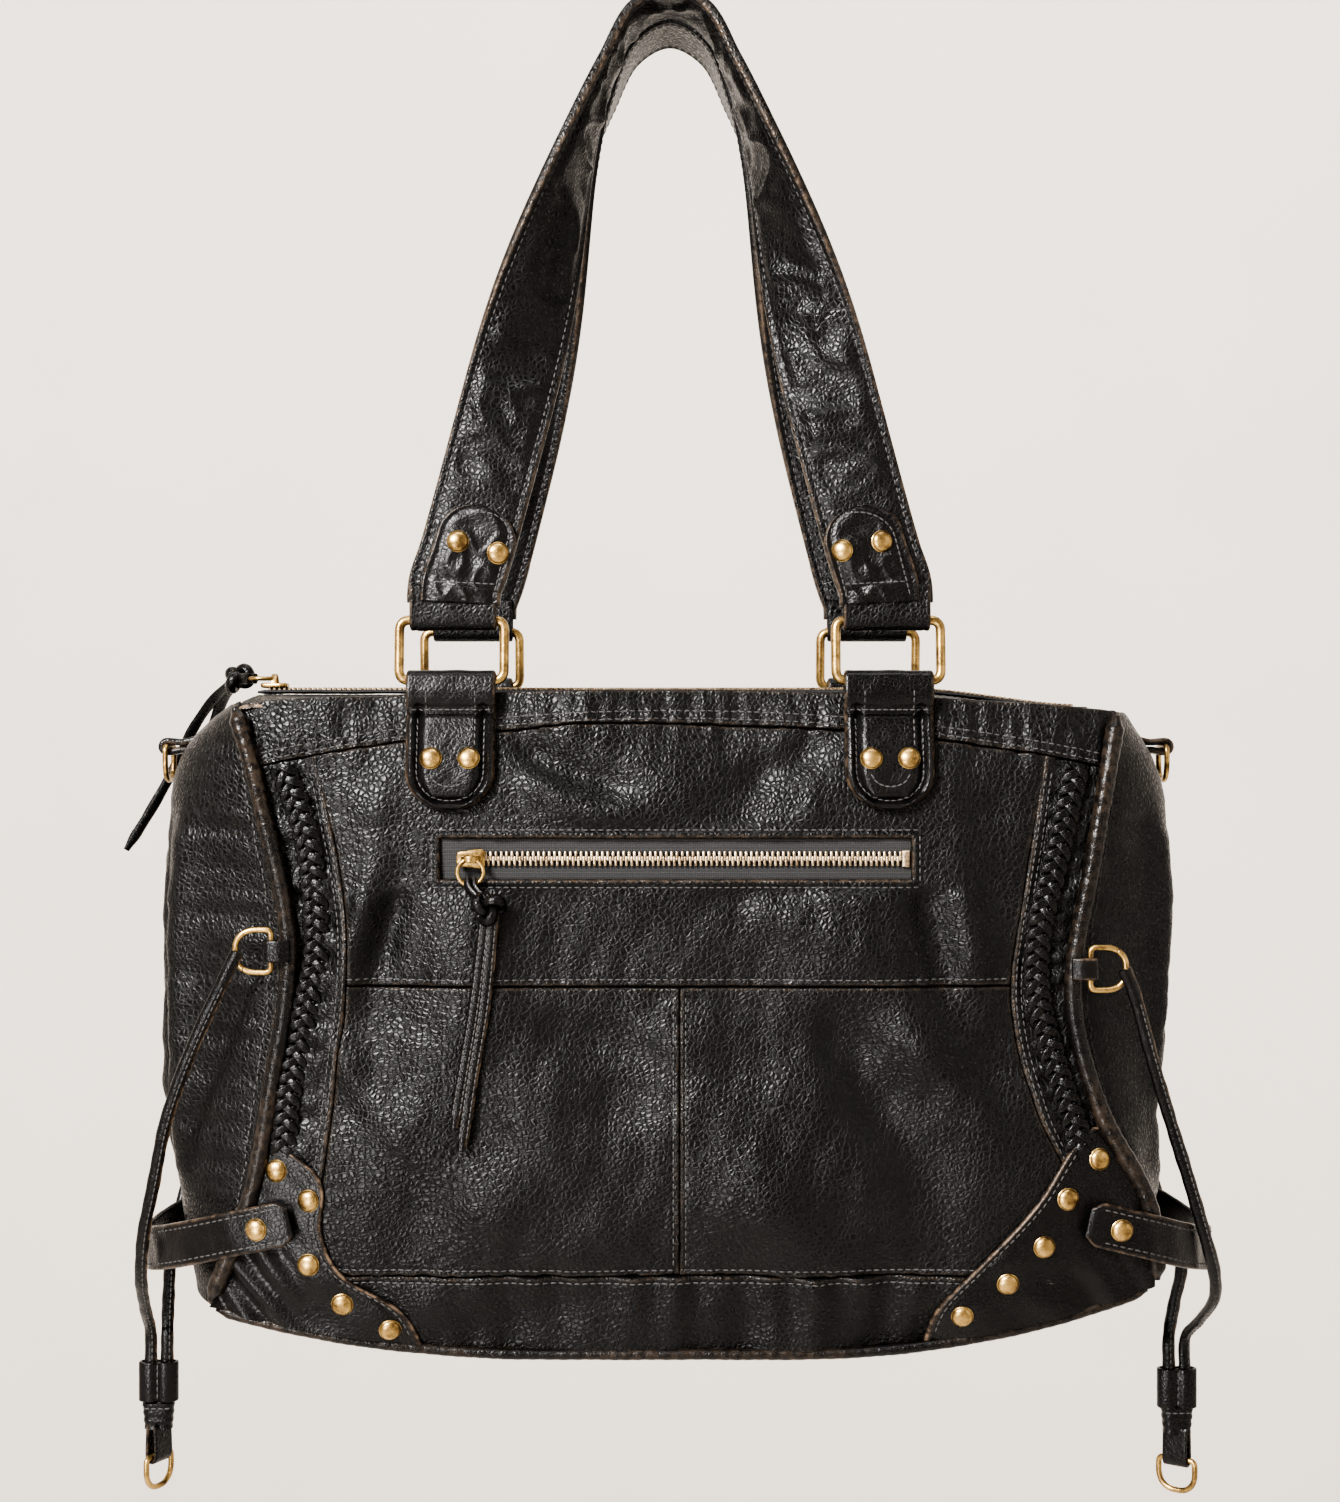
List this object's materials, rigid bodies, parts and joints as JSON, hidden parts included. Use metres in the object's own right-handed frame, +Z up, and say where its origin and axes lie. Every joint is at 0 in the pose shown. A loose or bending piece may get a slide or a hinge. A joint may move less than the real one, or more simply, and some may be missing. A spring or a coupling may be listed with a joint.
{
  "type": "satchel bag",
  "caption": "Soft leather satchel with two shoulder straps on rings, a zipped top, a zipped front pocket, studded corners and side drawstrings, hanging by its straps.",
  "frame": {"origin": "underside of the two straps, where they rest on what the bag hangs from, midway between the straps and on the bag's middle line", "axes": "+Z up along the hanging bag, +Y to the rear, +X to the right of someone facing the front pocket"},
  "size_m": [0.4944, 0.1449, 0.664],
  "materials": {
    "body_leather": "pebbled black, soft gloss, brown at worn edges",
    "trim_leather": "smoother black, soft gloss, brown at worn edges",
    "antique_brass": "aged brass, polished on high spots",
    "zip_tape": "black woven tape",
    "lining_cloth": "dark brown plain weave"
  },
  "bodies": {
    "bag_body": {"front_yoke": "body_leather", "front_upper_panel": "body_leather", "front_lower_left_panel": "body_leather", "front_lower_right_panel": "body_leather", "front_bottom_band": "body_leather", "left_gathered_strip": "body_leather", "right_gathered_strip": "body_leather", "rear_panel": "body_leather", "bottom_panel": "body_leather", "left_gusset": "body_leather", "right_gusset": "body_leather", "lining": "lining_cloth", "front_left_piping": "trim_leather", "front_right_piping": "trim_leather", "rear_left_piping": "trim_leather", "rear_right_piping": "trim_leather", "front_left_corner_patch": "trim_leather", "front_right_corner_patch": "trim_leather", "rear_left_corner_patch": "trim_leather", "rear_right_corner_patch": "trim_leather", "left_side_strap": "trim_leather", "right_side_strap": "trim_leather", "front_left_ring_tab": "trim_leather", "front_right_ring_tab": "trim_leather", "rear_left_ring_tab": "trim_leather", "rear_right_ring_tab": "trim_leather", "front_zip_tape": "zip_tape", "front_pocket_lining": "lining_cloth", "front_left_dring_tab": "trim_leather", "front_right_dring_tab": "trim_leather", "rear_left_dring_tab": "trim_leather", "rear_right_dring_tab": "trim_leather"},
    "front_left_ring": {"front_left_ring": "antique_brass"},
    "front_right_ring": {"front_right_ring": "antique_brass"},
    "rear_left_ring": {"rear_left_ring": "antique_brass"},
    "rear_right_ring": {"rear_right_ring": "antique_brass"},
    "front_strap": {"front_strap": "body_leather"},
    "rear_strap": {"rear_strap": "body_leather"},
    "front_placket": {"front_placket": "body_leather"},
    "rear_placket": {"rear_placket": "body_leather"},
    "main_zip_slider": {"main_zip_slider": "antique_brass"},
    "main_zip_pull": {"main_zip_pull_ring": "antique_brass", "main_zip_thong": "trim_leather"},
    "front_zip_slider": {"front_zip_slider": "antique_brass"},
    "front_zip_pull": {"front_zip_pull_ring": "antique_brass", "front_zip_thong": "trim_leather"},
    "front_left_dring": {"front_left_dring": "antique_brass"},
    "front_right_dring": {"front_right_dring": "antique_brass"},
    "rear_left_dring": {"rear_left_dring": "antique_brass"},
    "rear_right_dring": {"rear_right_dring": "antique_brass"},
    "left_upper_dring": {"left_upper_dring": "antique_brass"},
    "left_drawstring": {"left_drawstring": "trim_leather"},
    "left_keeper": {"left_keeper": "trim_leather"},
    "left_end_ring": {"left_end_ring": "antique_brass"},
    "right_upper_dring": {"right_upper_dring": "antique_brass"},
    "right_drawstring": {"right_drawstring": "trim_leather"},
    "right_keeper": {"right_keeper": "trim_leather"},
    "right_end_ring": {"right_end_ring": "antique_brass"}
  },
  "joints": [
    {"name": "front_left_ring_swing", "type": "hinge", "parent": "bag_body", "child": "front_left_ring", "pos_m": [-0.093, -0.052, -0.297], "axis": [1, 0, 0], "range_deg": [0, 80]},
    {"name": "front_right_ring_swing", "type": "hinge", "parent": "bag_body", "child": "front_right_ring", "pos_m": [0.093, -0.052, -0.297], "axis": [1, 0, 0], "range_deg": [0, 80]},
    {"name": "front_strap_swing", "type": "hinge", "parent": "front_left_ring", "child": "front_strap", "pos_m": [-0.093, -0.04928, -0.27114], "axis": [1, 0, 0], "range_deg": [0, 60]},
    {"name": "rear_left_ring_swing", "type": "hinge", "parent": "bag_body", "child": "rear_left_ring", "pos_m": [-0.093, 0.052, -0.297], "axis": [-1, 0, 0], "range_deg": [0, 80]},
    {"name": "rear_right_ring_swing", "type": "hinge", "parent": "bag_body", "child": "rear_right_ring", "pos_m": [0.093, 0.052, -0.297], "axis": [-1, 0, 0], "range_deg": [0, 80]},
    {"name": "rear_strap_swing", "type": "hinge", "parent": "rear_left_ring", "child": "rear_strap", "pos_m": [-0.093, 0.04928, -0.27114], "axis": [-1, 0, 0], "range_deg": [0, 60]},
    {"name": "front_placket_open", "type": "hinge", "parent": "bag_body", "child": "front_placket", "pos_m": [0, -0.046, -0.305], "axis": [1, 0, 0], "range_deg": [0, 75]},
    {"name": "rear_placket_open", "type": "hinge", "parent": "bag_body", "child": "rear_placket", "pos_m": [0, 0.046, -0.305], "axis": [-1, 0, 0], "range_deg": [0, 75]},
    {"name": "main_zip_slide", "type": "slide", "parent": "rear_placket", "child": "main_zip_slider", "axis": [1, 0, 0], "range_m": [0, 0.33], "deforming": ["main_zip_thong"]},
    {"name": "main_zip_pull_lift", "type": "hinge", "parent": "main_zip_slider", "child": "main_zip_pull", "pos_m": [-0.177, 0, -0.29455], "axis": [0, 1, 0], "range_deg": [0, 60]},
    {"name": "front_zip_slide", "type": "slide", "parent": "bag_body", "child": "front_zip_slider", "axis": [1, 0, 0], "range_m": [0, 0.178]},
    {"name": "front_zip_pull_lift", "type": "hinge", "parent": "front_zip_slider", "child": "front_zip_pull", "pos_m": [-0.084, -0.06355, -0.3725], "axis": [-1, 0, 0], "range_deg": [0, 45]},
    {"name": "front_left_dring_turn", "type": "hinge", "parent": "bag_body", "child": "front_left_dring", "pos_m": [-0.1685, -0.0595, -0.4115], "axis": [0, 0, 1], "range_deg": [-10, 10]},
    {"name": "front_right_dring_turn", "type": "hinge", "parent": "bag_body", "child": "front_right_dring", "pos_m": [0.1775, -0.0595, -0.419], "axis": [0, 0, 1], "range_deg": [-10, 10]},
    {"name": "rear_left_dring_turn", "type": "hinge", "parent": "bag_body", "child": "rear_left_dring", "pos_m": [-0.1685, 0.0595, -0.4115], "axis": [0, 0, 1], "range_deg": [-10, 10]},
    {"name": "rear_right_dring_turn", "type": "hinge", "parent": "bag_body", "child": "rear_right_dring", "pos_m": [0.1775, 0.0595, -0.419], "axis": [0, 0, 1], "range_deg": [-10, 10]},
    {"name": "left_upper_dring_swing", "type": "hinge", "parent": "bag_body", "child": "left_upper_dring", "pos_m": [-0.227, 0.013, -0.325], "axis": [0, 1, 0], "range_deg": [0, 80]},
    {"name": "right_upper_dring_swing", "type": "hinge", "parent": "bag_body", "child": "right_upper_dring", "pos_m": [0.2235, 0.013, -0.325], "axis": [0, -1, 0], "range_deg": [0, 80]},
    {"name": "left_drawstring_swing", "type": "hinge", "parent": "bag_body", "child": "left_drawstring", "pos_m": [-0.185, 0, -0.4205], "axis": [0, 1, 0], "range_deg": [0, 40]},
    {"name": "left_keeper_slide", "type": "slide", "parent": "left_drawstring", "child": "left_keeper", "axis": [0, 0, 1], "range_m": [0, 0.01], "deforming": ["left_drawstring"]},
    {"name": "left_end_ring_swing", "type": "hinge", "parent": "left_drawstring", "child": "left_end_ring", "pos_m": [-0.229, 0, -0.642], "axis": [0.4536, 0.8912, 0], "range_deg": [-60, 60]},
    {"name": "right_drawstring_swing", "type": "hinge", "parent": "bag_body", "child": "right_drawstring", "pos_m": [0.194, 0, -0.428], "axis": [0, -1, 0], "range_deg": [0, 40]},
    {"name": "right_keeper_slide", "type": "slide", "parent": "right_drawstring", "child": "right_keeper", "axis": [0, 0, 1], "range_m": [0, 0.01], "deforming": ["right_drawstring"]},
    {"name": "right_end_ring_swing", "type": "hinge", "parent": "right_drawstring", "child": "right_end_ring", "pos_m": [0.227, 0, -0.644], "axis": [0.8253, -0.5646, 0], "range_deg": [-60, 60]}
  ],
  "couplings": [
    {"joint": "front_right_ring_swing", "follows": "front_left_ring_swing", "ratio": 1},
    {"joint": "rear_right_ring_swing", "follows": "rear_left_ring_swing", "ratio": 1},
    {"joint": "rear_placket_open", "follows": "front_placket_open", "ratio": 1},
    {"joint": "main_zip_slide", "follows": "front_placket_open", "m_per_rad": 0.252}
  ]
}
